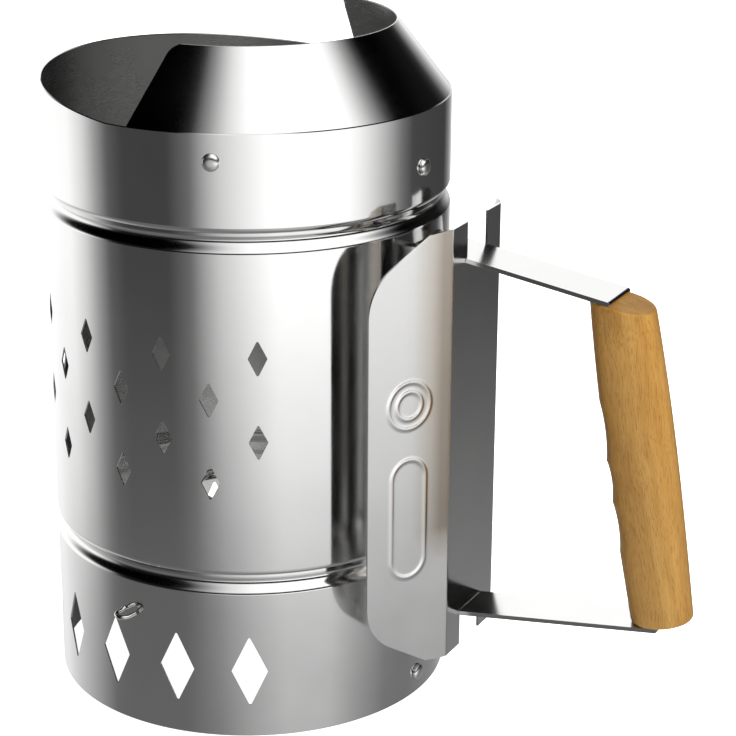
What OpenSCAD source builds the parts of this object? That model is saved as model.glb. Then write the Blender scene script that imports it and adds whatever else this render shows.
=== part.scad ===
// Chimney charcoal starter: a vented sheet tube with a pouring hood, a wire grate inside it,
// and a wooden grip held off the hot wall by two straps and a slotted heat shield.
// The origin is on the tube's axis at the plane that it stands on. +Z is up and +X points to the grip.

/* [Body] */
// Outside diameter of the tube
body_d = 190; // [180:1:200]
// Height of the rim on the grip side
rim_h = 287; // [280:1:300]
// Slope of the rim on the pouring side, in degrees
rim_slope = 5.9; // [0:0.1:8]
// Thickness of the body and hood sheet
sheet = 0.8; // [0.6:0.1:1]
// Depth of the two rolled beads
bead_depth = 3; // [1:0.5:4]
// Height of the lower edge of the upper bead
upper_bead_z = 233.5; // [231:0.5:236]
// Height of the lower edge of the lower bead
lower_bead_z = 72; // [70:0.5:74]
// Height of one bead
bead_h = 12; // [10:0.5:13.5]
// Angle from the grip to the seam and to the middle of the hood
seam_turn = -3.9; // [-5:0.1:-3]

/* [Vents] */
// Width of a small diamond vent
vent_w = 8.8; // [6:0.2:10]
// Height of a small diamond vent
vent_h = 17.5; // [12:0.5:18]
// Height of the lowest row of small vents
vent_z = 127; // [120:1:130]
// Height from one row of small vents to the next
vent_row = 19.7; // [18:0.1:21]
// Angle between neighbouring columns of small vents
vent_step = 13.2; // [12:0.1:13.4]
// Width of a large diamond vent
draught_w = 17; // [10:0.5:20]
// Height of a large diamond vent
draught_h = 36; // [20:1:40]
// Height of the middle of the large vents
draught_z = 33.3; // [30:0.1:34]
// Angle between neighbouring large vents
draught_step = 20.8; // [20:0.1:21]
// Angle from the grip to the middle of the small vents
vent_middle = -176.3; // [-180:0.1:-172]
// Angle from the grip to the middle of the large vents
draught_middle = -175.1; // [-178:0.1:-172]

/* [Hood] */
// Height of the hood above the rim
hood_rise = 32.5; // [20:0.5:35]
// Outside radius of the hood's top edge
hood_top_r = 69.5; // [65:0.5:80]
// Depth of the skirt inside the body
skirt_h = 32; // [32:1:36]
// Radius of the hood's free corners
hood_corner = 6; // [3:0.5:8]

/* [Handle] */
// Distance from the axis to the outer face of the shield's web
shield_x = 119; // [117:0.5:121]
// Width of the shield's web
shield_w = 49.8; // [49:0.2:51]
// Width of a shield flange
flange_w = 44; // [40:0.5:46]
// Angle of a flange from the plane of the grip
flange_turn = 60; // [54:1:64]
// Thickness of the shield sheet
shield_t = 1; // [0.8:0.1:1.2]
// Thickness of the straps
strap_t = 2; // [1.5:0.1:2.5]
// Width of the straps
strap_w = 25; // [22:0.5:26]
// Downward slope of the upper strap, in degrees
upper_drop = 8.4; // [6:0.1:10]
// Upward slope of the lower strap, in degrees
lower_rise = 7.7; // [6:0.1:9]
// Largest diameter of the grip
grip_d = 31.6; // [28:0.2:34]
// Diameter of the grip at its ends
grip_end_d = 28.2; // [26:0.2:29]
// Outward lean of the grip, in degrees
grip_lean = 10.1; // [9:0.1:11]

/* [Grate] */
// Diameter of the grate wire
wire_d = 2.2; // [2:0.1:2.6]
// Height of the wires' hooks outside the wall
grate_z = 56.1; // [55.8:0.1:56.4]
// Slope of the grate's cone, in degrees
grate_slope = 21.8; // [18:0.1:24]
// Angle from the grip to the first wire hook
grate_turn = -8.6; // [-9:0.1:-8.4]

/* [Hidden] */
$fn = 96;
eps = 0.02;
far = 400;

body_r = body_d / 2;
body_in = body_r - sheet;
bead_steps = 12;
// The sloped part of the rim starts just on the pouring side of the axis.
spout_x = -10;
rim_top = rim_h + (body_r - abs(spout_x)) * tan(rim_slope);
lap_half = 3.5;

rivet_d = 4;
rivet_hole_d = 4.1;
rivet_head_d = 8;
rivet_head_h = 2.2;
tail_d = 7;
tail_h = 1.3;
seam_rivet_z = 10.5;

skirt_out = body_in - 0.05;
skirt_in = skirt_out - sheet;
hood_rivet_turn = 65.1;
hood_rivet_z = rim_h - 12.5;
hood_seam_rivet_z = rim_h - 25.5;
hood_top_z = rim_h + hood_rise;
hood_tilt = atan((body_r - hood_top_r) / hood_rise);
// The hood's end planes lean away from the pouring side.
hood_end_x = 2;
hood_end_lean = 12.4;

shield_bottom = 33;
shield_top = 240.5;
bend_r = 1.5;
bend_steps = 8;
bend_x = shield_x - shield_t - bend_r;
// Distance from the corner that the web and flange would make to the start of their bend.
bend_reach = (bend_r + shield_t) * tan((90 - flange_turn) / 2);
web_half = shield_w / 2 - bend_reach;
flange_len = flange_w - bend_reach;
flange_round = 26;
// Slope of a flange's corner cut, and the nearly level edge between the bend and that cut.
flange_cut = 31;
flange_level = 11;
flange_droop = 0.8;
notch_half = 10.5;
slot_play = 0.3;
// Where the top face of each strap meets the outer face of the web.
upper_z = 224;
lower_z = 50.8;
foot_h = 28;
foot_half_w = 21;
foot_in = body_in - sheet - 0.05 - strap_t;
foot_rivet_turn = 10;
foot_rivet_drop = 15;
// Ends of the straps, on the axis of the grip.
upper_len = 70;
lower_len = 98.5;

grip_top_x = 189.2;
grip_top_z = 211.5;
grip_len = 152;
grip_steps = 24;
hollow_at = [57.8, 81.2, 103];
hollow_r = 40;
hollow_depth = 1.2;
tang_w = 14;
tang_len = 22;
tang_play = 0.15;
screw_d = 4;
screw_in = 9;
screw_len = 24;
screw_head_d = 8;
screw_head_h = 2.6;
washer_t = 0.8;
washer_d = 10;

hook_r = 3.6;
hook_x = body_r + 4;
hook_end_x = body_r + 0.6;
// Each wire runs straight down the cone and out through the wall before it bends level.
cone_foot_r = body_r + 1.5;
wire_hole_d = wire_d + 0.7;
cone_top_r = 12;
ring_r = [26, 41, 56, 71, 85];

// Height of the axis of a grate wire at radius r.
function cone_z(r) = grate_z + (cone_foot_r - r) * tan(grate_slope);

// How far the wall is pressed in at height z inside a bead that starts at z0.
function bead_in(z, z0) =
    let (t = (z - z0) / bead_h)
    t < 0 || t > 1 ? 0 : bead_depth * pow(sin(180 * pow(t, 0.95)), 2);

function wall_in(z) = bead_in(z, upper_bead_z) + bead_in(z, lower_bead_z);

function bead_heights(z0) = [for (i = [0:bead_steps]) z0 + bead_h * i / bead_steps];

// Heights at which the wall's outline has a point, up to height top.
function wall_heights(top) =
    [for (z = concat([0], bead_heights(lower_bead_z), bead_heights(upper_bead_z), [top]))
        if (z <= top) z];

function reversed(list) = [for (i = [len(list) - 1:-1:0]) list[i]];

// A layer of wall between radius outer and inner, up to height top, with the beads pressed in.
module wall_profile(outer, inner, top) {
    zs = wall_heights(top);
    polygon(concat([for (z = zs) [outer - wall_in(z), z]],
                   [for (z = reversed(zs)) [inner - wall_in(z), z]]));
}

// A diamond-shaped punch through the wall at angle turn and height z.
module diamond_punch(turn, z, w, h) {
    rotate([0, 0, turn])
        translate([body_r - 10, 0, z])
            rotate([90, 0, 90])
                linear_extrude(20)
                    polygon([[-w / 2, 0], [0, -h / 2], [w / 2, 0], [0, h / 2]]);
}

// A round punch through the wall at angle turn and height z.
module round_punch(turn, z, d) {
    rotate([0, 0, turn])
        translate([body_r - 10, 0, z])
            rotate([0, 90, 0])
                cylinder(d = d, h = 20);
}

// Everything above the rim, as a block across the body.
module above_rim() {
    rotate([90, 0, seam_turn])
        linear_extrude(2 * body_d, center = true)
            polygon([[far, rim_h], [spout_x, rim_h], [-far, rim_h + (far + spout_x) * tan(rim_slope)],
                     [-far, far], [far, far]]);
}

module small_vents() {
    for (column = [-9:9])
        for (row = [0, 2])
            diamond_punch(vent_middle + column * vent_step,
                          vent_z + (row + abs(column) % 2) * vent_row, vent_w, vent_h);
}

module draught_vents() {
    for (i = [-5.5:5.5])
        diamond_punch(draught_middle + i * draught_step, draught_z, draught_w, draught_h);
}

module wall_holes() {
    round_punch(seam_turn, seam_rivet_z, rivet_hole_d);
    round_punch(seam_turn, hood_seam_rivet_z, rivet_hole_d);
    for (side = [-1, 1]) {
        round_punch(seam_turn + side * hood_rivet_turn, hood_rivet_z, rivet_hole_d);
        round_punch(side * foot_rivet_turn, foot_rivet_z(upper_z, upper_drop), rivet_hole_d);
        round_punch(side * foot_rivet_turn, foot_rivet_z(lower_z, -lower_rise), rivet_hole_d);
    }
    for (i = [0:3])
        round_punch(grate_turn + 90 * i, cone_z(body_r - sheet / 2), wire_hole_d);
}

module body_shell() {
    color("gainsboro")
        difference() {
            union() {
                rotate_extrude($fn = 180)
                    wall_profile(body_r, body_in, rim_top + 1);
                rotate([0, 0, seam_turn - lap_half])
                    rotate_extrude(angle = 2 * lap_half)
                        wall_profile(body_in + eps, body_in - sheet, rim_h - skirt_h - 1);
            }
            above_rim();
            small_vents();
            draught_vents();
            wall_holes();
            strap_slot(upper_z, upper_drop);
            strap_slot(lower_z, -lower_rise);
        }
}

// Outline of the hood's sheet in radius and height: skirt, ledge on the rim, and cone.
module hood_profile() {
    inner_dx = sheet / cos(hood_tilt);
    fold_z = rim_h + (body_r - inner_dx - skirt_in) / tan(hood_tilt);
    polygon([[skirt_in, rim_h - skirt_h], [skirt_out, rim_h - skirt_h], [skirt_out, rim_h + eps],
             [body_r, rim_h + eps], [hood_top_r, hood_top_z],
             [hood_top_r - sheet * cos(hood_tilt), hood_top_z - sheet * sin(hood_tilt)],
             [skirt_in, fold_z]]);
}

// Side view of the space that the hood fills, with its free corner rounded.
module hood_side() {
    corner_z = hood_top_z - hood_corner + 0.3;
    edge_x = hood_end_x + (corner_z - rim_h) * tan(hood_end_lean);
    corner_x = edge_x + hood_corner / cos(hood_end_lean);
    turn = 90 - hood_end_lean;
    polygon(concat(
        [[hood_end_x, 0], [far, 0], [far, far], [corner_x, far]],
        [for (i = [0:8])
            [corner_x + hood_corner * cos(90 + turn * i / 8),
             corner_z + hood_corner * sin(90 + turn * i / 8)]],
        [[hood_end_x, rim_h]]));
}

module pouring_hood() {
    color("silver")
        difference() {
            intersection() {
                rotate_extrude($fn = 180)
                    hood_profile();
                rotate([90, 0, seam_turn])
                    linear_extrude(2 * body_d, center = true)
                        hood_side();
            }
            round_punch(seam_turn, hood_seam_rivet_z, rivet_hole_d);
            for (side = [-1, 1])
                round_punch(seam_turn + side * hood_rivet_turn, hood_rivet_z, rivet_hole_d);
        }
}

// A shallow dome of diameter d and height h, flat side down.
module dome(d, h) {
    dome_r = (pow(d / 2, 2) + pow(h, 2)) / (2 * h);
    intersection() {
        translate([0, 0, h - dome_r])
            sphere(r = dome_r);
        cylinder(d = d, h = h + 1);
    }
}

// A dome-headed rivet through the wall. Its head rests at radius outer, its tail at radius inner.
module rivet(turn, z, outer, inner) {
    tail_x = inner - 0.1;
    rotate([0, 0, turn])
        translate([tail_x, 0, z])
            rotate([0, 90, 0]) {
                translate([0, 0, -tail_h])
                    cylinder(d = tail_d, h = tail_h);
                cylinder(d = rivet_d, h = outer - tail_x);
                translate([0, 0, outer - tail_x])
                    dome(rivet_head_d, rivet_head_h);
            }
}

module hood_rivets() {
    color("whitesmoke") {
        rivet(seam_turn, hood_seam_rivet_z, body_r + eps, skirt_in);
        for (side = [-1, 1])
            rivet(seam_turn + side * hood_rivet_turn, hood_rivet_z, body_r + eps, skirt_in);
    }
}

module seam_rivet() {
    color("whitesmoke")
        rivet(seam_turn, seam_rivet_z, body_r + eps, body_in - sheet);
}

function mirrored(list) = [for (p = list) [p[0], -p[1]]];

// One skin of half the shield in plan: the bend at radius r, then the flange.
function half_skin(r) = concat(
    [for (i = [0:bend_steps])
        let (a = (90 - flange_turn) * i / bend_steps)
            [bend_x + r * cos(a), web_half + r * sin(a)]],
    [[bend_x + r * sin(flange_turn) - flange_len * cos(flange_turn),
      web_half + r * cos(flange_turn) + flange_len * sin(flange_turn)]]);

// Height that a flange's edge has moved in at the middle of its rounded corner.
flange_inset = flange_droop + (flange_len - flange_round - flange_level) * tan(flange_cut)
    + flange_round / cos(flange_cut);

// Outline of a flange, seen square on. x runs from the bend to the free edge.
module flange_outline() {
    turns = [0:(90 - flange_cut) / 6:90.01 - flange_cut];
    polygon(concat(
        [[-5, shield_bottom - 5], [3, shield_bottom - 5], [3, shield_bottom],
         [flange_level, shield_bottom + flange_droop]],
        [for (a = turns)
            let (b = a - 90 + flange_cut)
                [flange_len - flange_round + flange_round * cos(b),
                 shield_bottom + flange_inset + flange_round * sin(b)]],
        [for (b = turns)
            [flange_len - flange_round + flange_round * cos(b),
             shield_top - flange_inset + flange_round * sin(b)]],
        [[flange_level, shield_top - flange_droop], [3, shield_top], [3, shield_top + 5],
         [-5, shield_top + 5]]));
}

// What is cut off a straight flange to round its corners.
module flange_trim() {
    translate([bend_x, web_half, 0])
        rotate([0, 0, 90 - flange_turn])
            translate([bend_r - 2, 0, 0])
                rotate([90, 0, 90])
                    linear_extrude(shield_t + 4)
                        difference() {
                            translate([2, 0])
                                square([2 * flange_w, 2 * shield_top]);
                            flange_outline();
                        }
}

// A wide block that follows a strap's top face: from drop below it to rise above it.
module strap_band(z, slope, width, rise, drop) {
    translate([shield_x, 0, z])
        rotate([0, slope, 0])
            translate([-far / 2, -width / 2, -drop])
                cube([far, width, rise + drop]);
}

// The slot that a strap passes through, in the wall and in the web.
module strap_slot(z, slope) {
    translate([shield_x, 0, z])
        rotate([0, slope, 0])
            translate([-45, -strap_w / 2 - slot_play, -strap_t - slot_play])
                cube([55, strap_w + 2 * slot_play, strap_t + 2 * slot_play]);
}

module shield_sheet() {
    outer = half_skin(bend_r + shield_t);
    inner = half_skin(bend_r);
    translate([0, 0, shield_bottom])
        linear_extrude(shield_top - shield_bottom)
            polygon(concat(outer, reversed(inner), mirrored(inner), reversed(mirrored(outer))));
}

module heat_shield() {
    color("lightgray")
        difference() {
            shield_sheet();
            flange_trim();
            mirror([0, 1, 0])
                flange_trim();
            strap_slot(upper_z, upper_drop);
            strap_slot(lower_z, -lower_rise);
            translate([shield_x - 5, -notch_half, upper_z])
                cube([10, 2 * notch_half, far]);
            translate([shield_x - 5, -notch_half, lower_z - strap_t - far])
                cube([10, 2 * notch_half, far]);
        }
}

// A strap's flat bar, sloping down by angle slope, and cut to the curve of the wall.
module strap_bar(z, slope, len) {
    difference() {
        translate([shield_x, 0, z])
            rotate([0, slope, 0])
                translate([-shield_x, -strap_w / 2, -strap_t])
                    cube([shield_x + len, strap_w, strap_t]);
        translate([0, 0, -1])
            cylinder(r = foot_in, h = far, $fn = 180);
    }
}

// Height of a strap's top face at the wall.
function foot_top(z, slope) = z + (shield_x - foot_in) * tan(slope);

function foot_rivet_z(z, slope) = foot_top(z, slope) - foot_rivet_drop;

// The foot of a strap: a curved plate inside the wall and its seam, below the bar.
module strap_foot(z, slope) {
    top = foot_top(z, slope) - strap_t / 2;
    difference() {
        intersection() {
            translate([0, 0, top - foot_h])
                cylinder(r = foot_in + strap_t, h = foot_h, $fn = 180);
            translate([body_r / 2, -foot_half_w, top - foot_h - 1])
                cube([far, 2 * foot_half_w, foot_h + 2]);
        }
        cylinder(r = foot_in, h = far, $fn = 180);
        for (side = [-1, 1])
            round_punch(side * foot_rivet_turn, foot_rivet_z(z, slope), rivet_hole_d);
    }
}

// The tang at the end of the upper strap, along the axis of the grip.
module tang(play) {
    translate([shield_x, 0, upper_z])
        rotate([0, upper_drop, 0])
            translate([upper_len - strap_t, 0, -strap_t])
                rotate([0, -upper_drop - grip_lean, 0])
                    translate([-play, -tang_w / 2 - play, -tang_len - play])
                        cube([strap_t + 2 * play, tang_w + 2 * play, tang_len + play + strap_t / 2]);
}

module upper_strap() {
    color("whitesmoke") {
        strap_bar(upper_z, upper_drop, upper_len);
        strap_foot(upper_z, upper_drop);
        tang(0);
    }
}

// Places its children on the grip screw's axis, at the underside of the lower strap, pointing up.
module at_screw() {
    translate([shield_x, 0, lower_z])
        rotate([0, -lower_rise, 0])
            translate([lower_len - screw_in, 0, -strap_t])
                children();
}

module lower_strap() {
    color("whitesmoke")
        difference() {
            union() {
                strap_bar(lower_z, -lower_rise, lower_len);
                strap_foot(lower_z, -lower_rise);
            }
            at_screw()
                translate([0, 0, -1])
                    cylinder(d = screw_d + 0.3, h = strap_t + 2);
        }
}

module strap_rivets() {
    color("silver")
        for (side = [-1, 1]) {
            rivet(side * foot_rivet_turn, foot_rivet_z(upper_z, upper_drop),
                  body_r + eps, foot_in);
            rivet(side * foot_rivet_turn, foot_rivet_z(lower_z, -lower_rise),
                  body_r + eps, foot_in);
        }
}

// Radius of the grip at fraction t of its length, from the foot up.
function grip_r(t) =
    (grip_end_d + (grip_d - grip_end_d) * pow(sin(180 * pow(t, 1.2)), 0.8)) / 2;

// Places its children on the axis of the grip, at its top end, pointing up.
module at_grip_top() {
    translate([grip_top_x, 0, grip_top_z])
        rotate([0, -grip_lean, 0])
            children();
}

module grip_blank() {
    spare = 5;
    at_grip_top()
        translate([0, 0, -grip_len])
            rotate_extrude()
                polygon(concat([[0, -spare], [grip_r(0), -spare]],
                               [for (i = [0:grip_steps])
                                   [grip_r(i / grip_steps), grip_len * i / grip_steps]],
                               [[grip_r(0), grip_len + spare], [0, grip_len + spare]]));
}

// Shallow hollows for the fingers, on the side that faces the body.
module finger_hollows() {
    at_grip_top()
        for (depth = hollow_at)
            translate([hollow_depth - grip_d / 2 - hollow_r, 0, -depth])
                rotate([90, 0, 0])
                    cylinder(r = hollow_r, h = 2 * grip_d, center = true);
}

module grip() {
    color("peru")
        difference() {
            grip_blank();
            strap_band(upper_z, upper_drop, 100, 60, strap_t + eps);
            strap_band(lower_z, -lower_rise, 100, eps, 60);
            finger_hollows();
            tang(tang_play);
            at_screw()
                cylinder(d = screw_d + 0.1, h = screw_len + 2);
        }
}

module grip_screw() {
    color("silver")
        at_screw()
            translate([0, 0, -washer_t - eps]) {
                cylinder(d = screw_d, h = screw_len);
                mirror([0, 0, 1])
                    dome(screw_head_d, screw_head_h);
            }
}

module screw_washer() {
    color("gainsboro")
        at_screw()
            translate([0, 0, -washer_t])
                difference() {
                    cylinder(d = washer_d, h = washer_t - eps);
                    translate([0, 0, -1])
                        cylinder(d = screw_d + 0.3, h = washer_t + 2);
                }
}

// A straight length of wire from point a to point b of the XZ plane, with a rounded corner at b.
module wire_run(a, b) {
    d = b - a;
    translate([a[0], 0, a[1]])
        rotate([0, atan2(d[0], d[1]), 0])
            cylinder(d = wire_d, h = norm(d));
    translate([b[0], 0, b[1]])
        sphere(d = wire_d + 3 * eps);
}

// The hook at the end of a cross wire, outside the wall: a half turn and a short leg back.
module wire_hook() {
    translate([hook_x, hook_r, grate_z])
        rotate([0, 0, -90])
            rotate_extrude(angle = 180)
                translate([hook_r, 0])
                    circle(d = wire_d);
    translate([hook_end_x, 2 * hook_r, grate_z])
        rotate([0, 90, 0])
            cylinder(d = wire_d, h = hook_x - hook_end_x + eps);
}

// A wire bent into a low cone whose flat top has radius top_r, with its ends out through the wall.
module cross_wire(turn, top_r) {
    top_z = cone_z(top_r);
    color("darkgray")
        rotate([0, 0, turn]) {
            // The flat top, as two runs from its middle, so that both of its corners are rounded.
            wire_run([0, top_z], [top_r, top_z]);
            wire_run([eps, top_z], [-top_r, top_z]);
            for (side = [0, 180])
                rotate([0, 0, side]) {
                    wire_run([top_r, top_z], [cone_foot_r, grate_z]);
                    wire_run([cone_foot_r, grate_z], [hook_x, grate_z]);
                    wire_hook();
                }
        }
}

module cross_wire_lower() {
    cross_wire(grate_turn, cone_top_r + (wire_d + eps) / tan(grate_slope));
}

module cross_wire_upper() {
    cross_wire(grate_turn + 90, cone_top_r);
}

// A ring of grate wire that rests on the cross wires.
module grate_ring(r) {
    color("darkgray")
        translate([0, 0, cone_z(r) + (wire_d + eps) / cos(grate_slope)])
            rotate_extrude()
                translate([r, 0])
                    circle(d = wire_d, $fn = 48);
}

module grate_ring_1() { grate_ring(ring_r[0]); }
module grate_ring_2() { grate_ring(ring_r[1]); }
module grate_ring_3() { grate_ring(ring_r[2]); }
module grate_ring_4() { grate_ring(ring_r[3]); }
module grate_ring_5() { grate_ring(ring_r[4]); }

body_shell();
pouring_hood();
hood_rivets();
seam_rivet();
heat_shield();
upper_strap();
lower_strap();
strap_rivets();
grip();
grip_screw();
screw_washer();
cross_wire_lower();
cross_wire_upper();
grate_ring_1();
grate_ring_2();
grate_ring_3();
grate_ring_4();
grate_ring_5();
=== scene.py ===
"""Looks for the chimney charcoal starter: fine meshes, procedural materials, studio and camera.

Lengths are millimetres until a mesh is made. +Z is up the tube, and +X is towards the grip.
"""

from math import (acos, asin, atan, atan2, ceil, copysign, cos, exp, hypot,
                  pi, radians, sin, sqrt, tan)

import bmesh
import bpy
from mathutils import Matrix, Vector
from mathutils.geometry import delaunay_2d_cdt


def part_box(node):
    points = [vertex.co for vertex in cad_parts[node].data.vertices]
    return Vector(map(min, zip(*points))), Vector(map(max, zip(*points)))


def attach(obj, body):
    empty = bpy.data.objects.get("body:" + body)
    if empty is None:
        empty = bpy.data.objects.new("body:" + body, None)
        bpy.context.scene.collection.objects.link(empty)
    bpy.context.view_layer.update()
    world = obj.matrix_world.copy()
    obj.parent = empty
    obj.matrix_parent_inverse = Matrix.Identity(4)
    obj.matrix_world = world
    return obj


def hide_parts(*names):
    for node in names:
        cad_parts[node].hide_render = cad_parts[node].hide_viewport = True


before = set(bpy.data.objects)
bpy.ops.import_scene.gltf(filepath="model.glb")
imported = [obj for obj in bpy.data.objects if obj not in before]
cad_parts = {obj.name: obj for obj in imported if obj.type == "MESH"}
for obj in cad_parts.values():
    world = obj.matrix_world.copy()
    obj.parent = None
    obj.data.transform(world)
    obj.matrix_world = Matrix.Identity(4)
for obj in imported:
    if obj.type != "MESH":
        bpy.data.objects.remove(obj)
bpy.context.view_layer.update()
TAU = 2 * pi


def mm_box(node):
    lo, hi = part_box(node)
    return lo * 1000, hi * 1000


def cad_points(node):
    return [v.co * 1000 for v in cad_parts[node].data.vertices]


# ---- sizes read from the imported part
shell_lo, shell_hi = mm_box("body_shell")
hood_lo, hood_hi = mm_box("pouring_hood")
shield_lo, shield_hi = mm_box("heat_shield")

R = (shell_hi.x - shell_lo.x) / 2
SHEET = 0.8
HALF = SHEET / 2
# The rim is level on the grip's side, and rises to the spout from SPOUT_X.
RIM_Z = max(p.z for p in cad_points("body_shell") if p.x > R / 2)
SPOUT_Z = shell_hi.z
SPOUT_X = -10.0
SPOUT_SLOPE = (SPOUT_Z - RIM_Z) / (R + SPOUT_X)
SEAM_TURN = radians(-3.9)
RIM_GAP = 0.02
BEADS = (72.0, 233.5)
BEAD_H = 12.0
BEAD_DEPTH = 3.0
STRAP_T = 2.0
FOOT_R = R - 2 * SHEET - 0.05 - STRAP_T
STRAP_HALF = 12.5
SLOT_PLAY = 0.3
UPPER_SLOPE = radians(8.4)
LOWER_SLOPE = radians(-7.7)
WEB_X = shield_hi.x
# Heights of the straps' top faces where they pass through the shield.
UPPER_Z = 224.0
LOWER_Z = 50.8


# ---- small helpers
def lerp(a, b, t):
    return a + (b - a) * t


def smooth(t):
    t = min(max(t, 0.0), 1.0)
    return t * t * (3 - 2 * t)


def spaced(a, b, step):
    """Values from a to b, no further apart than step, ends included."""
    n = max(1, ceil(abs(b - a) / step - 1e-9))
    return [lerp(a, b, i / n) for i in range(n + 1)]


def polar(r, turn, z):
    return Vector((r * cos(turn), r * sin(turn), z))


def fillet_path(points, radii, steps=6):
    """A polyline with its corners rounded: a list of (point, normal), normals on the left of the path."""
    out = []
    count = len(points)
    for i, p in enumerate(points):
        p = Vector(p)
        before = (p - Vector(points[i - 1])).normalized() if i else None
        after = (Vector(points[i + 1]) - p).normalized() if i < count - 1 else None
        if before is None or after is None or not radii[i]:
            for d in (before, after):
                if d is not None:
                    out.append((p, Vector((-d.y, d.x))))
            continue
        turn = -before.angle_signed(after)
        reach = radii[i] * tan(abs(turn) / 2)
        start = p - before * reach
        side = 1 if turn > 0 else -1
        centre = start + Vector((-before.y, before.x)) * radii[i] * side
        for k in range(steps + 1):
            n = Matrix.Rotation(turn * k / steps, 2) @ Vector((-before.y, before.x))
            out.append((centre - n * radii[i] * side, n))
    return out


def new_mesh(name, points, faces, loop_normals=None, sharp=None, materials=(), face_material=None):
    """An object from millimetre points.

    loop_normals gives exact shading. Without them, edges of more than sharp degrees stay sharp.
    """
    mesh = bpy.data.meshes.new(name)
    mesh.from_pydata([p * 0.001 for p in points], [], faces)
    for m in materials:
        mesh.materials.append(m)
    mesh.polygons.foreach_set("use_smooth", [True] * len(mesh.polygons))
    if face_material:
        mesh.polygons.foreach_set("material_index", face_material)
    mesh.update()
    if loop_normals:
        mesh.normals_split_custom_set(loop_normals)
    elif sharp:
        mesh.set_sharp_from_angle(angle=radians(sharp))
    obj = bpy.data.objects.new(name, mesh)
    bpy.context.scene.collection.objects.link(obj)
    return obj


def faces_outward(obj):
    """Turns the faces of a closed mesh outwards."""
    bm = bmesh.new()
    bm.from_mesh(obj.data)
    bmesh.ops.recalc_face_normals(bm, faces=bm.faces)
    bm.to_mesh(obj.data)
    bm.free()


def bevel(obj, width, angle):
    """Rounds the edges of more than angle degrees, and keeps the flats flat in shading."""
    m = obj.modifiers.new("rounded edges", "BEVEL")
    m.width = width * 0.001
    m.segments = 2
    m.limit_method = "ANGLE"
    m.angle_limit = radians(angle)
    w = obj.modifiers.new("flat shading on flats", "WEIGHTED_NORMAL")
    w.keep_sharp = False
    w.weight = 60


def axes(x, y, z, origin):
    """The matrix with these axes and this origin."""
    m = Matrix((x, y, z)).transposed().to_4x4()
    m.translation = origin
    return m


def place(obj, slot, *nodes):
    """The piece rides the part's one body and stands for these CAD nodes."""
    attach(obj, "root")
    if nodes:
        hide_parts(*nodes)
    return obj


# ---- materials
def shader(name):
    mat = bpy.data.materials.new(name)
    mat.use_nodes = True
    tree = mat.node_tree
    return mat, tree, tree.nodes["Principled BSDF"]


def node(tree, kind, inputs=None, **props):
    n = tree.nodes.new("ShaderNode" + kind)
    for k, v in props.items():
        setattr(n, k, v)
    for k, v in (inputs or {}).items():
        if isinstance(v, bpy.types.NodeSocket):
            tree.links.new(v, n.inputs[k])
        else:
            n.inputs[k].default_value = v
    return n


def math_node(tree, op, *values):
    return node(tree, "Math", dict(enumerate(values)), operation=op).outputs[0]


def mix(tree, factor, a, b, blend="MIX"):
    inputs = {"Factor": factor, 6: a, 7: b}
    return node(tree, "Mix", inputs, data_type="RGBA", blend_type=blend).outputs[2]


def noise(tree, vector, scale, detail, roughness=0.5):
    """Noise from 0 to 1, with scale features to the metre."""
    return node(tree, "TexNoise", {"Vector": vector, "Scale": scale, "Detail": detail,
                                   "Roughness": roughness}).outputs["Fac"]


def remap(tree, value, start, end, low=0.0, high=1.0, **props):
    """The value, with start to end mapped onto low to high and held there outside."""
    return node(tree, "MapRange", {"Value": value, "From Min": start, "From Max": end,
                                   "To Min": low, "To Max": high}, **props).outputs[0]


def ramp(tree, fac, stops):
    """A colour ramp through (position, colour) stops."""
    n = node(tree, "ValToRGB", {"Fac": fac})
    elements = n.color_ramp.elements
    elements[0].position, elements[1].position = stops[0][0], stops[-1][0]
    for pos, _ in stops[1:-1]:
        elements.new(pos)
    for e, (_, colour) in zip(elements, stops):
        e.color = (*colour, 1)
    return n.outputs["Color"]


def grey(v):
    return (v, v, v)


def sheet_metal(name, colour, low, high, wave=0.25, streak=(1, 1, 14), metal=1.0, scuff=0.02):
    """Rolled sheet: cloudy roughness, faint rolling streaks, small scuffs and a slight waviness."""
    mat, t, bsdf = shader(name)
    co = node(t, "TexCoord").outputs["Object"]
    cloud = noise(t, co, 22.0, 4.0, 0.55)
    squeezed = node(t, "Mapping", {"Vector": co, "Scale": streak}).outputs[0]
    mixed = math_node(t, "MULTIPLY_ADD", noise(t, squeezed, 160.0, 3.0), 0.35, cloud)
    t.links.new(remap(t, mixed, 0.45, 0.95, low, high), bsdf.inputs["Roughness"])
    dull = tuple(c * 0.94 for c in colour)
    t.links.new(ramp(t, cloud, [(0.3, dull), (0.7, colour)]), bsdf.inputs["Base Color"])
    bsdf.inputs["Metallic"].default_value = metal
    swell = node(t, "Bump", {"Height": noise(t, co, 9.0, 1.0), "Strength": wave, "Distance": 0.0012})
    fine = node(t, "Bump", {"Height": noise(t, co, 900.0, 2.0, 0.7), "Strength": scuff,
                            "Distance": 0.0002, "Normal": swell.outputs[0]})
    t.links.new(fine.outputs[0], bsdf.inputs["Normal"])
    return mat


def along(tree, direction, start, end):
    """Runs from 0 to 1 between two distances, in metres, in a direction."""
    co = node(tree, "TexCoord").outputs["Object"]
    dot = node(tree, "VectorMath", {0: co, 1: direction}, operation="DOT_PRODUCT").outputs["Value"]
    return remap(tree, dot, start, end)


def toned(mat, factor, stops):
    """Multiplies a material's colour by the tones that factor runs through: painted light and shade."""
    t = mat.node_tree
    colour = t.nodes["Principled BSDF"].inputs["Base Color"]
    tone = ramp(t, factor(t), stops)
    t.links.new(mix(t, 1.0, colour.links[0].from_socket, tone, "MULTIPLY"), colour)


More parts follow.
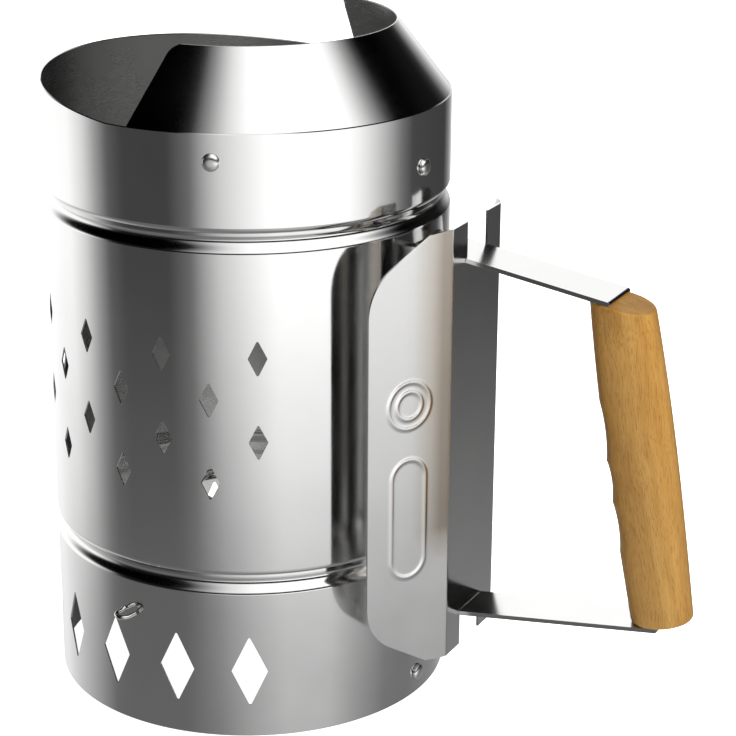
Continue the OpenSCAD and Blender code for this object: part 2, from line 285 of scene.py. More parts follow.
def grip_wood(axis_turn):
    """Oiled hardwood: broad figure, fine dark pores and long fibres, all along the grip."""
    mat, t, bsdf = shader("oiled_wood_painted_shade")
    co = node(t, "TexCoord").outputs["Object"]
    upright = node(t, "Mapping", {"Vector": co, "Rotation": (0, axis_turn, 0)}).outputs[0]
    warp = node(t, "TexNoise", {"Vector": upright, "Scale": 18.0, "Detail": 2.0}).outputs["Color"]
    drift = node(t, "VectorMath", {0: warp, 1: (0.012, 0.012, 0.0)}, operation="MULTIPLY").outputs[0]
    bent = node(t, "VectorMath", {0: upright, 1: drift}, operation="ADD").outputs[0]
    long = node(t, "Mapping", {"Vector": bent, "Scale": (1, 1, 0.07)}).outputs[0]
    fibres = node(t, "Mapping", {"Vector": bent, "Scale": (1, 1, 0.08)}).outputs[0]
    pores = noise(t, fibres, 1900.0, 2.0, 0.7)
    figure = ramp(t, noise(t, long, 95.0, 6.0, 0.6),
                  [(0.28, (0.36, 0.165, 0.026)), (0.45, (0.46, 0.235, 0.048)),
                   (0.58, (0.55, 0.30, 0.075)), (0.75, (0.62, 0.37, 0.105))])
    broad = ramp(t, noise(t, long, 30.0, 2.0), [(0.3, grey(0.80)), (0.7, grey(1.08))])
    dark = ramp(t, pores, [(0.34, (0.52, 0.42, 0.30)), (0.48, grey(1.0))])
    pored = mix(t, 0.6, mix(t, 1.0, figure, broad, "MULTIPLY"), dark, "MULTIPLY")
    t.links.new(pored, bsdf.inputs["Base Color"])
    t.links.new(remap(t, pores, 0.3, 0.7, 0.62, 0.42), bsdf.inputs["Roughness"])
    height = math_node(t, "MULTIPLY_ADD", noise(t, fibres, 3000.0, 1.0), 0.35, pores)
    bump = node(t, "Bump", {"Height": height, "Strength": 0.35, "Distance": 0.0003})
    t.links.new(bump.outputs[0], bsdf.inputs["Normal"])
    bsdf.inputs["Specular IOR Level"].default_value = 0.35
    return mat


# LEAN is the grip's angle from upright. VIEW_TURN is the camera's angle round the tube.
LEAN = radians(10.1)
VIEW_TURN = radians(30.6)
tube_metal = sheet_metal("rolled_sheet", (0.83, 0.83, 0.825), 0.08, 0.14)
inner_metal_painted_shade = sheet_metal("rolled_sheet_inside_painted_shade", (0.66, 0.66, 0.65), 0.24, 0.32, wave=0.2, metal=0.89,
                          scuff=0.002)
# Painted shade: the inside darkens towards the camera's left, where it would reflect the dark side of the
# studio. Painted reflection: the flanges warm towards their bends, as if they reflected the wooden grip.
toned(inner_metal_painted_shade, lambda t: along(t, (cos(VIEW_TURN), sin(VIEW_TURN), 0), -0.0955, -0.045),
      [(0.0, grey(0.01)), (0.08, grey(0.05)), (0.17, grey(0.22)), (0.29, grey(0.5)), (0.45, grey(0.72)),
       (0.65, grey(0.9)), (1.0, grey(1.0))])
shield_metal = sheet_metal("shield_sheet", (0.85, 0.85, 0.845), 0.16, 0.24, wave=0.15)
# The flanges get their own copy of the shield's sheet, a little darker, which carries a painted reflection
# of the wooden grip that warms towards the bends.
flange_metal_painted_reflection = sheet_metal("shield_flange_sheet_painted_reflection", (0.83, 0.83, 0.825), 0.16, 0.24, wave=0.15)
toned(flange_metal_painted_reflection, lambda t: math_node(t, "MULTIPLY", along(t, (1, 0, 0), 0.106, 0.1165),
                                        along(t, (0, 0, 1), 0.078, 0.100)),
      [(0.0, grey(1.0)), (0.25, (0.97, 0.965, 0.95)), (0.54, (0.83, 0.80, 0.755)),
       (0.75, (0.73, 0.68, 0.62)), (1.0, (0.50, 0.45, 0.39))])
strap_metal = sheet_metal("flat_bar", (0.80, 0.80, 0.79), 0.17, 0.25, wave=0.1, streak=(14, 1, 1))
plated = sheet_metal("bright_plate", (0.92, 0.92, 0.91), 0.24, 0.32, wave=0.02)
wire_metal = sheet_metal("drawn_wire", (0.70, 0.70, 0.69), 0.12, 0.24, wave=0.05)
wood = grip_wood(LEAN)
# Painted shade: the grip is darker and yellower towards its low end.
toned(wood, lambda t: along(t, (0, 0, 1), 0.06, 0.20),
      [(0.0, (0.74, 0.72, 0.57)), (1.0, (0.94, 0.93, 0.83))])
# Painted shade: the grip darkens and warms towards the edges of its outline as seen from the camera.
toned(wood, lambda t: node(t, "LayerWeight", {"Blend": 0.5}).outputs["Facing"],
      [(0.0, grey(1.0)), (0.3, grey(1.0)), (0.55, (0.84, 0.82, 0.76)), (0.97, (0.56, 0.52, 0.44))])


# ---- tube
def bead_in(z):
    """How far the beads take the wall inwards at a height."""
    total = 0.0
    for z0 in BEADS:
        t = (z - z0) / BEAD_H
        if 0 < t < 1:
            total += BEAD_DEPTH * sin(pi * t ** 0.95) ** 2
    return total


def wall_normal(turn, z, outward):
    """The wall's exact normal, on its outer or its inner side."""
    slope = (bead_in(z + 0.01) - bead_in(z - 0.01)) / 0.02
    return polar(1, turn, slope).normalized() * (1 if outward else -1)


def rim_height(turn):
    x = R * cos(turn - SEAM_TURN)
    return RIM_Z - RIM_GAP + max(0.0, SPOUT_X - x) * SPOUT_SLOPE


def diamond(turn, z, w, h, round_r=0.6):
    """Outline of a punched diamond as (arc length, height) points, with slightly rounded corners."""
    corners = [(w / 2, 0), (0, h / 2), (-w / 2, 0), (0, -h / 2)]
    out = []
    for i, (x, y) in enumerate(corners):
        facing = atan2(y, x)
        half = atan2(h, w) if i % 2 == 0 else atan2(w, h)
        inset = 1 - round_r / sin(half) / hypot(x, y)
        for k in (-1, -0.33, 0.33, 1):
            a = facing + k * (pi / 2 - half)
            out.append((turn * R + x * inset + round_r * cos(a),
                        z + y * inset + round_r * sin(a)))
    return out


def in_outline(x, y, outline):
    inside = False
    for i, (x1, y1) in enumerate(outline):
        x2, y2 = outline[i - 1]
        if (y1 > y) != (y2 > y) and x < (x2 - x1) * (y - y1) / (y2 - y1) + x1:
            inside = not inside
    return inside


# Small vents in four staggered rows, and one row of large draught holes at the foot.
VENT_TURN = radians(-176.3)
VENT_STEP = radians(13.2)
VENT_Z, VENT_RISE = 127, 19.7
VENT_W, VENT_H = 8.8, 17.5
DRAUGHT_TURN = radians(-175.1)
DRAUGHT_STEP = radians(20.8)
DRAUGHT_Z = 33.3
DRAUGHT_W, DRAUGHT_H = 17.0, 36.0
small_vents = [diamond(VENT_TURN + c * VENT_STEP, VENT_Z + (row + abs(c) % 2) * VENT_RISE, VENT_W, VENT_H)
               for c in range(-9, 10) for row in (0, 2)]
draughts = [diamond(DRAUGHT_TURN + (i - 5.5) * DRAUGHT_STEP, DRAUGHT_Z, DRAUGHT_W, DRAUGHT_H)
            for i in range(12)]
# The columns of the wall's mesh start at -390 degrees, clear of every vent and slot.
COLUMNS = 288
turns = [TAU * (i / COLUMNS - 13 / 12) for i in range(COLUMNS + 1)]


def strap_slot(z, slope):
    """Outline of the slot that a strap passes through, one turn back from the grip's side."""
    top = z + (WEB_X - R + 0.3) * tan(slope) + SLOT_PLAY
    low = top - 2 * SLOT_PLAY - STRAP_T / cos(slope)
    half = R * asin((STRAP_HALF + SLOT_PLAY) / R)
    around = [x - TAU * R for x in spaced(-half, half, 1.8)]
    return [(x, low) for x in around] + [(x, top) for x in around[::-1]]


slots = [strap_slot(LOWER_Z, LOWER_SLOPE), strap_slot(UPPER_Z, UPPER_SLOPE)]


class Shell:
    """Collects wall faces as (radius, turn, height) corners, each with its own exact normal."""

    def __init__(self):
        self.points, self.faces, self.normals, self.material, self.seen = [], [], [], [], {}

    def point(self, p, group):
        """The number of a point, which faces of the same group share."""
        key = (round(p.x, 3), round(p.y, 3), round(p.z, 3), group)
        if key not in self.seen:
            self.seen[key] = len(self.points)
            self.points.append(p)
        return self.seen[key]

    def face(self, corners, normals=None, material=0, group="edge"):
        """A face, flat unless it has normals. Corners that fall together are dropped."""
        ids = [self.point(p, group) for p in corners]
        if len(set(ids)) < 3:
            return
        if normals is None:
            n = (corners[1] - corners[0]).cross(corners[-1] - corners[0])
            normals = [n.normalized() if n.length else Vector((0, 0, 1))] * len(corners)
        kept = [i for i in range(len(ids)) if ids[i] != ids[i - 1]]
        self.faces.append([ids[i] for i in kept])
        self.normals += [normals[i] for i in kept]
        self.material.append(material)

    def skin(self, cells, depth, outward, material):
        """cells hold (turn, height) corners counter-clockwise as seen from outside."""
        for cell in cells:
            ring = cell if outward else cell[::-1]
            corners = [polar(R - depth - bead_in(z), a, z) for a, z in ring]
            self.face(corners, [wall_normal(a, z, outward) for a, z in ring], material, outward)


shell = Shell()


def plain_band(heights, columns):
    """Cells between rows of heights. Each row is a function of the turn."""
    cells = []
    for lower, upper in zip(heights, heights[1:]):
        for a, b in zip(columns, columns[1:]):
            cells.append([(a, lower(a)), (b, lower(b)), (b, upper(b)), (a, upper(a))])
    return cells


def vented_band(z0, z1, outlines, step):
    """Triangles between two heights, around the punched outlines."""
    rows = spaced(z0, z1, step)
    spots, edges = [], []
    for outline in outlines:
        first, count = len(spots), len(outline)
        spots += outline
        edges += [(first + i, first + (i + 1) % count) for i in range(count)]
    boxes = [(min(x for x, _ in o) - 1, max(x for x, _ in o) + 1,
              min(y for _, y in o) - 1, max(y for _, y in o) + 1, o) for o in outlines]

    def about(x, y):
        """The outlines whose boxes hold this point."""
        return [o for x0, x1, y0, y1, o in boxes if x0 < x < x1 and y0 < y < y1]

    def near(x, y):
        return any(in_outline(x, y, o) or min(hypot(x - u, y - v) for u, v in thick(o)) < 1.0
                   for o in about(x, y))

    for i, z in enumerate(rows):
        end_row = i in (0, len(rows) - 1)
        spots += [(a * R, z) for a in turns if end_row or not near(a * R, z)]
    corners, _, triangles, *_ = delaunay_2d_cdt([Vector(s) for s in spots], edges, [], 0, 1e-5)
    cells = []
    for triangle in triangles:
        pts = [corners[i] for i in triangle]
        x, y = sum(p.x for p in pts) / 3, sum(p.y for p in pts) / 3
        if any(in_outline(x, y, o) for o in about(x, y)):
            continue
        if (pts[1] - pts[0]).cross(pts[2] - pts[0]) < 0:
            pts = pts[::-1]
        cells.append([(p.x / R, p.y) for p in pts])
    return cells


def thick(outline):
    """The outline with points added along its long sides."""
    out = []
    for i, (x1, y1) in enumerate(outline):
        x2, y2 = outline[i - 1]
        out += [(lerp(x1, x2, k / 6), lerp(y1, y2, k / 6)) for k in range(6)]
    return out


def level(z):
    return lambda turn: z


EDGE_TILT = radians(55)
# Heights where the plain and the punched bands of the wall meet.
DRAUGHT_LOW, DRAUGHT_HIGH = 12.0, 54.0
VENT_LOW, VENT_HIGH = 114.0, 200.0
SLOT_LOW = 218.0
RIM_LOW = 250.0
lower_bead, upper_bead = [spaced(z0, z0 + BEAD_H, 0.45) for z0 in BEADS]
low_rows = [level(z) for z in (HALF, 6.0, DRAUGHT_LOW)]
mid_rows = [level(z) for z in [DRAUGHT_HIGH, 62.0] + lower_bead + [92.0, 104.0, VENT_LOW]]
upper_rows = [level(z) for z in (VENT_HIGH, 209.0, SLOT_LOW)]
high_rows = [level(z) for z in upper_bead + [RIM_LOW]]
rim_rows = [lambda a, t=t: lerp(RIM_LOW, rim_height(a) - HALF, t) for t in (0, 0.25, 0.5, 0.75, 1.0)]
bands = (plain_band(low_rows, turns),
         vented_band(DRAUGHT_LOW, DRAUGHT_HIGH, draughts + slots[:1], 5.3),
         plain_band(mid_rows, turns),
         vented_band(VENT_LOW, VENT_HIGH, small_vents, 5.5),
         plain_band(upper_rows, turns),
         vented_band(SLOT_LOW, BEADS[1], slots[1:], 4.5),
         plain_band(high_rows, turns),
         plain_band(rim_rows, turns))
for band in bands:
    shell.skin(band, 0.0, True, 0)
    shell.skin(band, SHEET, False, 1)
# The cut edges of the vents and slots.
for outline in small_vents + draughts + slots:
    for i, (x1, z1) in enumerate(outline):
        x2, z2 = outline[i - 1]
        shell.face([polar(r, x / R, z) for r, x, z in ((R, x1, z1), (R, x2, z2), (R - SHEET, x2, z2),
                                                       (R - SHEET, x1, z1))])
# The rounded edges at the rim and the foot.
EDGE_STEPS = 8
for at_rim, way in ((True, 1), (False, -1)):
    for a, b in zip(turns, turns[1:]):
        for k in range(EDGE_STEPS):
            corners, normals = [], []
            for turn, step in ((a, k), (b, k), (b, k + 1), (a, k + 1)):
                angle = pi * step / EDGE_STEPS
                centre_z = rim_height(turn) - HALF if at_rim else HALF
                corners.append(polar(R - HALF + HALF * cos(angle), turn,
                                     centre_z + HALF * (sin(angle) * way)))
                # The sheared rim's normals are tilted as if it were bevelled, so that it catches the light
                # from above all round.
                tilt = angle
                if at_rim:
                    tilt = EDGE_TILT if k < EDGE_STEPS / 2 else pi - EDGE_TILT
                normals.append(polar(cos(tilt), turn, sin(tilt) * way))
            shell.face(corners[::way], normals[::way], group="rim")
# The seam: a second layer of sheet inside the wall, cut away at the strap slots.
lap_turns = [SEAM_TURN + radians(d) for d in (-3.5, -1.75, 0, 1.75, 3.5)]
slot_heights = [[min(z for _, z in o), max(z for _, z in o)] for o in slots]
lap_rows = ([0.3, 20.0] + slot_heights[0] + [62.0] + lower_bead + [110.0, 150.0, 190.0]
            + slot_heights[1] + upper_bead + [hood_lo.z - 1])
lap_steps = [(a, b) for a, b in zip(lap_rows, lap_rows[1:]) if [a, b] not in slot_heights]
for z0, z1 in lap_steps:
    shell.skin(plain_band([level(z0), level(z1)], lap_turns), 2 * SHEET, False, 1)
for turn, way in ((lap_turns[0], 1), (lap_turns[-1], -1)):
    for z0, z1 in lap_steps:
        side = [polar(R - depth - bead_in(z), turn, z)
                for depth, z in ((SHEET, z0), (2 * SHEET, z0), (2 * SHEET, z1), (SHEET, z1))]
        shell.face(side[::way], material=1)
for z, way in ((lap_rows[-1], 1), (lap_rows[0], -1)):
    for a, b in zip(lap_turns, lap_turns[1:]):
        end = [polar(R - depth, turn, z)
               for depth, turn in ((SHEET, a), (SHEET, b), (2 * SHEET, b), (2 * SHEET, a))]
        shell.face(end[::way], material=1)
tube = new_mesh("tube", shell.points, shell.faces, shell.normals, materials=(tube_metal, inner_metal_painted_shade),
                face_material=shell.material)
place(tube, "galvanised", "body_shell")


# ---- hood
HOOD_TOP = hood_hi.z
HOOD_TOP_R = 69.5
HOOD_TILT = atan((R - HOOD_TOP_R) / (HOOD_TOP - RIM_Z))
SKIRT_R = R - SHEET - 0.05
LEDGE_Z = RIM_Z + 0.03
CORNER = 6.0
END_X = 2.0
END_LEAN = radians(12.4)


def hood_half_turn(r, z):
    """How far round from its middle the hood's sheet reaches at radius r and height z."""
    x = END_X
    if z > RIM_Z:
        corner_z = HOOD_TOP - CORNER
        x = END_X + (z - RIM_Z) * tan(END_LEAN)
        if z > corner_z:
            edge = END_X + (corner_z - RIM_Z) * tan(END_LEAN)
            x = edge + CORNER - sqrt(max(CORNER ** 2 - (z - corner_z) ** 2, 0.0))
    return acos(min(1.0, x / r))


def hood_sheet():
    """The sheet's section as (point, normal), from the skirt's inner side over the top to its outer side."""
    across = SHEET * cos(HOOD_TILT)
    down = SHEET * sin(HOOD_TILT)
    fold = RIM_Z + (R - SHEET / cos(HOOD_TILT) - SKIRT_R + SHEET) / tan(HOOD_TILT)
    corners = [(SKIRT_R - SHEET, hood_lo.z), (SKIRT_R - SHEET, fold), (HOOD_TOP_R - across, HOOD_TOP - down),
               (HOOD_TOP_R, HOOD_TOP), (R - HALF, LEDGE_Z), (SKIRT_R, LEDGE_Z), (SKIRT_R, hood_lo.z)]
    radii = [0, 1.2, 0.36, 0.36, 0, 0, 0]
    outline = fillet_path([Vector(c) for c in corners], radii)
    dense = []
    for (p, n), (q, _) in zip(outline, outline[1:]):
        dense.append((p, n))
        if (q - p).length > 3:
            # Long runs are divided, more closely towards the rounded corners at the top.
            to_top = max(p.y, q.y) > HOOD_TOP - 1.5
            for k in range(1, 12):
                t = k / 12
                if to_top:
                    t = t ** 0.5 if q.y > p.y else 1 - (1 - t) ** 0.5
                dense.append((p.lerp(q, t), n))
    dense.append(outline[-1])
    return dense


def build_hood():
    profile = hood_sheet()
    columns = 160
    wide = columns + 1
    top_row = max(range(len(profile)), key=lambda i: profile[i][0].y)

    def turn_of(i, j):
        p = profile[i][0]
        return SEAM_TURN + hood_half_turn(p.x, p.y) * (2 * j / columns - 1)

    points = [polar(p.x, turn_of(i, j), p.y) for i, (p, _) in enumerate(profile) for j in range(wide)]
    faces, normals, material = [], [], []
    for i in range(len(profile) - 1):
        if (profile[i][0] - profile[i + 1][0]).length < 1e-6:
            continue
        for j in range(columns):
            ring = [(i, j), (i, j + 1), (i + 1, j + 1), (i + 1, j)]
            faces.append([a * wide + b for a, b in ring])
            material.append(1 if i < top_row - 3 else 0)
            normals += [polar(-profile[a][1].x, turn_of(a, b), -profile[a][1].y) for a, b in ring]
    # The two free edges.
    for j, way in ((0, 1), (columns, -1)):
        ids = [i * wide + j for i in range(len(profile))]
        kept = [i for n, i in enumerate(ids) if (points[i] - points[ids[n - 1]]).length > 1e-6]
        faces.append(kept[::way])
        material.append(0)
        sideways = Vector((sin(SEAM_TURN), -cos(SEAM_TURN), 0)) * way
        to_spout = Vector((-cos(SEAM_TURN), -sin(SEAM_TURN), 0))
        normals += [(to_spout * 0.98 + sideways * 0.2).normalized()] * len(kept)
    return new_mesh("hood", points, faces, normals, materials=(tube_metal, inner_metal_painted_shade),
                    face_material=material)


place(build_hood(), "galvanised", "pouring_hood")


# ---- turned and swept shapes
def lathe(profile, steps, cap=True):
    """Points and faces for a profile of (radius, height) turned about +Z."""
    points, faces = [], []
    for r, z in profile:
        points += [polar(r, TAU * j / steps, z) for j in range(steps)]
    for i in range(len(profile) - 1):
        for j in range(steps):
            k = (j + 1) % steps
            faces.append([i * steps + j, i * steps + k, (i + 1) * steps + k, (i + 1) * steps + j])
    if cap:
        faces.append(list(range(steps))[::-1])
        faces.append([(len(profile) - 1) * steps + j for j in range(steps)])
    return points, faces


def moved(points, matrix):
    return [matrix @ p for p in points]


def joined(parts):
    """Several (points, faces) shapes as one."""
    points, faces = [], []
    for p, f in parts:
        start = len(points)
        points += p
        faces += [[i + start for i in face] for face in f]
    return points, faces


def outward_matrix(turn, z, x):
    """Maps +Z of a turned shape onto the outward direction at this turn, starting at radius x."""
    out = Vector((cos(turn), sin(turn), 0))
    return axes((-sin(turn), cos(turn), 0), (0, 0, 1), out, out * x + Vector((0, 0, z)))


def rivet_shape(shank):
    """A set rivet along +Z: tail inside, dome outside. Height 0 is under the head."""
    r, head_h = 4.0, 2.2
    t, tail_h = 3.5, 1.2
    dome = [(r * (1 - k / 14) ** 0.8, 0.3 + (head_h - 0.3) * (1 - ((1 - k / 14) ** 0.8) ** 3.2) ** 0.5)
            for k in range(1, 14)]
    return lathe([(0.02, -shank - tail_h), (t * 0.5, -shank - tail_h), (t - 0.35, -shank - tail_h + 0.1),
                  (t, -shank - tail_h * 0.6), (t - 0.1, -shank - 0.15), (2.0, -shank - 0.02), (2.0, 0.0),
                  (r - 0.35, 0.02), (r - 0.05, 0.12), (r, 0.3)] + dome + [(0.02, head_h)], 32)


def rivets(name, spots, shank, node_name):
    """One object with a rivet at each (turn, height), its head on the wall's outer face."""
    points, faces = rivet_shape(shank)
    points, faces = joined([(moved(points, outward_matrix(turn, z, R + HEAD_GAP)), faces)
                            for turn, z in spots])
    obj = new_mesh(name, points, faces, sharp=40, materials=(plated,))
    place(obj, "zinc", node_name)


HEAD_GAP = 0.02
SHEETS_SHANK = 1.72
SIDE_TURN = radians(65.1)
FOOT_RIVET_TURN = radians(10)
FOOT_RIVET_DROP = 15
upper_foot = UPPER_Z + (WEB_X - FOOT_R) * tan(UPPER_SLOPE)
lower_foot = LOWER_Z + (WEB_X - FOOT_R) * tan(LOWER_SLOPE)
rivets("hood_rivet_set",
       [(SEAM_TURN, RIM_Z - 25.5)] + [(SEAM_TURN + s * SIDE_TURN, RIM_Z - 12.5) for s in (-1, 1)],
       SHEETS_SHANK, "hood_rivets")
rivets("seam_rivet_set", [(SEAM_TURN, 10.5)], SHEETS_SHANK, "seam_rivet")
rivets("strap_rivet_set",
       [(s * FOOT_RIVET_TURN, z - FOOT_RIVET_DROP) for s in (-1, 1) for z in (upper_foot, lower_foot)],
       R - FOOT_R, "strap_rivets")


# ---- straps
FOOT_HALF = 21.0
FOOT_H = 28.0
FOOT_CORNER = 4


def bar_axes(slope):
    """The directions along a strap towards the grip, and up from its top face."""
    return Vector((cos(slope), 0, -sin(slope))), Vector((sin(slope), 0, cos(slope)))


def strap(name, top_z, slope, length, node_name, rounded_end):
    """A strap from its curved foot on the wall, round the bend and out to the grip."""
    end_x = WEB_X + length * cos(slope)
    bar_x = spaced(R + 3, end_x - 3, 4)
    foot_bottom = top_z + (WEB_X - FOOT_R) * tan(slope) - STRAP_T / 2 - FOOT_H
    across = 24

    def plane(x, depth):
        return top_z - (x - WEB_X) * tan(slope) - depth / cos(slope)

    def skin(depth):
        """Rows of points for the face that is depth below the bar's top, and on down the foot."""
        rows = []
        wall = FOOT_R + depth
        corner_r = 3.2 if depth == 0 else 1.2
        for j in range(across + 1):
            u = 2 * j / across - 1
            y = u * STRAP_HALF
            corner_x = sqrt(wall ** 2 - y ** 2)
            path = fillet_path([(corner_x, foot_bottom), (corner_x, plane(corner_x, depth)),
                                (corner_x + 8, plane(corner_x + 8, depth))], [0, corner_r, 0])
            arc = [p for p, _ in path][1:-1]
            shoulder = arc[0].y - 1.5
            column = []
            for z in spaced(foot_bottom, shoulder, 4):
                wide = u * FOOT_HALF
                inset = max(0.0, FOOT_CORNER - (z - foot_bottom)) if abs(u) == 1 else 0
                if inset:
                    wide -= copysign(FOOT_CORNER - sqrt(FOOT_CORNER ** 2 - inset ** 2), u)
                column.append(Vector((sqrt(wall ** 2 - wide ** 2), wide, z)))
            column.append(Vector((corner_x, y, shoulder + 0.05)))
            column += [Vector((p.x, y, p.y)) for p in arc]
            column += [Vector((x, y, plane(x, depth))) for x in bar_x]
            rows.append(column)
        return rows

    top, under = skin(0.0), skin(STRAP_T)
    ahead, up = bar_axes(slope)
    for j in range(across + 1):
        y = (2 * j / across - 1) * STRAP_HALF
        tip = Vector((end_x, y, plane(end_x, 0.0)))
        if rounded_end:
            soft = 1.5
            for k in range(6):
                a = pi / 2 * k / 5
                spot = tip - ahead * soft - up * soft
                top[j].append(spot + ahead * soft * sin(a) + up * soft * cos(a))
                under[j].append(tip - ahead * lerp(2.6, 0.15, k / 5) - up * STRAP_T)
        else:
            top[j].append(tip)
            under[j].append(tip - up * STRAP_T)
    n = len(top[0])
    points = [p for column in top + under for p in column]
    half = len(points) // 2
    faces = []
    for j in range(across):
        for i in range(n - 1):
            a, b = j * n + i, (j + 1) * n + i
            faces.append([a, a + 1, b + 1, b])
            faces.append([half + a, half + b, half + b + 1, half + a + 1])
        for i in (0, n - 1):
            a, b = j * n + i, (j + 1) * n + i
            faces.append([a, b, half + b, half + a] if i == 0 else [b, a, half + a, half + b])
    for j in (0, across):
        for i in range(n - 1):
            a = j * n + i
            quad = [a, half + a, half + a + 1, a + 1]
            faces.append(quad if j == 0 else quad[::-1])
    obj = new_mesh(name, points, faces, sharp=40, materials=(strap_metal,))
    faces_outward(obj)
    bevel(obj, 0.3, 55)
    place(obj, "strap_steel", node_name)


strap("upper_bar", UPPER_Z, UPPER_SLOPE, 70.0, "upper_strap", True)
strap("lower_bar", LOWER_Z, LOWER_SLOPE, 98.5, "lower_strap", False)


# ---- heat shield
SHIELD_T = 1.0
BEND_R = 1.5
FLANGE_TURN = radians(60)
BEND_X = WEB_X - SHIELD_T - BEND_R
REACH = (BEND_R + SHIELD_T) * tan((pi / 2 - FLANGE_TURN) / 2)
WEB_HALF = 24.9 - REACH
FLANGE_LEN = 44.0 - REACH
FLANGE_ROUND = 26.0
FLANGE_CUT = radians(31)
# A flange's edge drifts in by FLANGE_STEP up to FLANGE_LEVEL from the bend, then is cut back.
FLANGE_LEVEL = 11.0
FLANGE_STEP = 0.8
Z_LOW, Z_HIGH = shield_lo.z, shield_hi.z


def flange_inset(s):
    """How far a flange's top or bottom edge has moved in at distance s from the bend."""
    if s < 3:
        return 0.0
    if s < FLANGE_LEVEL:
        return FLANGE_STEP * (s - 3) / (FLANGE_LEVEL - 3)
    arc_x = FLANGE_LEN - FLANGE_ROUND
    if s < arc_x + FLANGE_ROUND * sin(FLANGE_CUT):
        return FLANGE_STEP + (s - FLANGE_LEVEL) * tan(FLANGE_CUT)
    centre = (FLANGE_STEP + (arc_x - FLANGE_LEVEL) * tan(FLANGE_CUT)
              + FLANGE_ROUND / cos(FLANGE_CUT))
    return centre - sqrt(max(FLANGE_ROUND ** 2 - (s - arc_x) ** 2, 0))


def ridge(d, width=0.7, height=0.28):
    """Height of a raised line whose middle is d away."""
    return height * exp(-(d / width) ** 2)


def emboss(s, z):
    """A plain double ring above a long rounded panel line, pressed into each flange."""
    across = s - FLANGE_LEN * 0.50
    from_ring = hypot(across, z - (Z_HIGH - 78))
    total = ridge(from_ring - 11.0) + ridge(from_ring - 6.5)
    lo, hi, r = Z_LOW + 46, Z_HIGH - 104, 9.0
    nearest = min(max(z, lo + r), hi - r)
    return total + ridge(hypot(across, z - nearest) - r)


def shield():
    slot_half = STRAP_HALF + SLOT_PLAY
    notch = 10.5
    slots = [(z - STRAP_T / cos(slope) - 0.1, z + 0.1)
             for z, slope in ((UPPER_Z, UPPER_SLOPE), (LOWER_Z, LOWER_SLOPE))]
    marks = sorted([Z_LOW, Z_HIGH] + [v for pair in slots for v in pair])
    heights = [z for a, b in zip(marks, marks[1:]) for z in spaced(a, b, 0.75)[:-1]] + [marks[-1]]
    # The sheet in plan, from one free edge to the other: each column has its side, kind and distance.
    grid = spaced(0, notch, 3.5) + spaced(notch, slot_half, 1.2) + [slot_half, WEB_HALF * 0.8]
    web = [(0, "web", y) for y in sorted({s * v for s in (1, -1) for v in grid})]
    half = [("bend", (pi / 2 - FLANGE_TURN) * k / 8) for k in range(9)]
    half += [("flange", s) for s in spaced(0, FLANGE_LEN - 3, 0.75)[1:]]
    half += [("flange", FLANGE_LEN - 3 * (1 - k / 16) ** 2) for k in range(1, 17)]
    columns = [(-1, *c) for c in reversed(half)] + web + [(1, *c) for c in half]

    def spot(column, row, outer):
        side, kind, v = column
        z = heights[row]
        r = BEND_R + (SHIELD_T if outer else 0)
        if kind == "web":
            return Vector((WEB_X - (0 if outer else SHIELD_T), v, z))
        if kind == "bend":
            return Vector((BEND_X + r * cos(v), side * (WEB_HALF + r * sin(v)), z))
        t = (z - Z_LOW) / (Z_HIGH - Z_LOW)
        z = lerp(Z_LOW + flange_inset(v), Z_HIGH - flange_inset(v), t)
        if outer:
            r += emboss(v, z)
        nx, ny = sin(FLANGE_TURN), cos(FLANGE_TURN)
        return Vector((BEND_X + r * nx - v * ny, side * (WEB_HALF + r * ny + v * nx), z))

    rows, cols = len(heights), len(columns)
    points = [spot(c, i, outer) for outer in (True, False) for c in columns for i in range(rows)]
    size = rows * cols

    def solid(j, i):
        """False where a slot or a notch is cut."""
        a, b = columns[j], columns[j + 1]
        if a[1] != "web" or b[1] != "web":
            return True
        y = abs((a[2] + b[2]) / 2)
        z = (heights[i] + heights[i + 1]) / 2
        for lo, hi in slots:
            if lo < z < hi and y < slot_half:
                return False
        return not (y < notch and (z > slots[0][1] or z < slots[1][0]))

    keep = [[solid(j, i) for i in range(rows - 1)] for j in range(cols - 1)]
    faces, material = [], []
    for j in range(cols - 1):
        on_flange = columns[j][1] == "flange" or columns[j + 1][1] == "flange"
        for i in range(rows - 1):
            if not keep[j][i]:
                continue
            a, b = j * rows + i, (j + 1) * rows + i
            faces.append([a, b, b + 1, a + 1])
            faces.append([size + a, size + a + 1, size + b + 1, size + b])
            sides = [((a, b), i == 0 or not keep[j][i - 1]),
                     ((b + 1, a + 1), i == rows - 2 or not keep[j][i + 1]),
                     ((b, b + 1), j == cols - 2 or not keep[j + 1][i]),
                     ((a + 1, a), j == 0 or not keep[j - 1][i])]
            for (p, q), open_side in sides:
                if open_side:
                    faces.append([q, p, size + p, size + q])
            material += [int(on_flange)] * (len(faces) - len(material))
    obj = new_mesh("shield", points, faces, sharp=40, materials=(shield_metal, flange_metal_painted_reflection),
                   face_material=material)
    bm = bmesh.new()
    bm.from_mesh(obj.data)
    loose = [v for v in bm.verts if not v.link_faces]
    bmesh.ops.delete(bm, geom=loose, context="VERTS")
    bm.to_mesh(obj.data)
    bm.free()
    obj.data.set_sharp_from_angle(angle=radians(40))
    place(obj, "galvanised", "heat_shield")


shield()


# ---- grip
GRIP_TOP = Vector((189.2, 0, 211.5))
GRIP_LEN = 152.0
GRIP_R, GRIP_END_R = 15.8, 14.1
# Depths of the ridges between the finger hollows.
RIDGES = (44.0, 71.5, 91.0, 115.0)


def grip_radius(t):
    """The turned radius at a share t of the length, from the low end."""
    t = min(max(t, 0.001), 0.999)
    return GRIP_END_R + (GRIP_R - GRIP_END_R) * sin(pi * t ** 1.2) ** 0.8


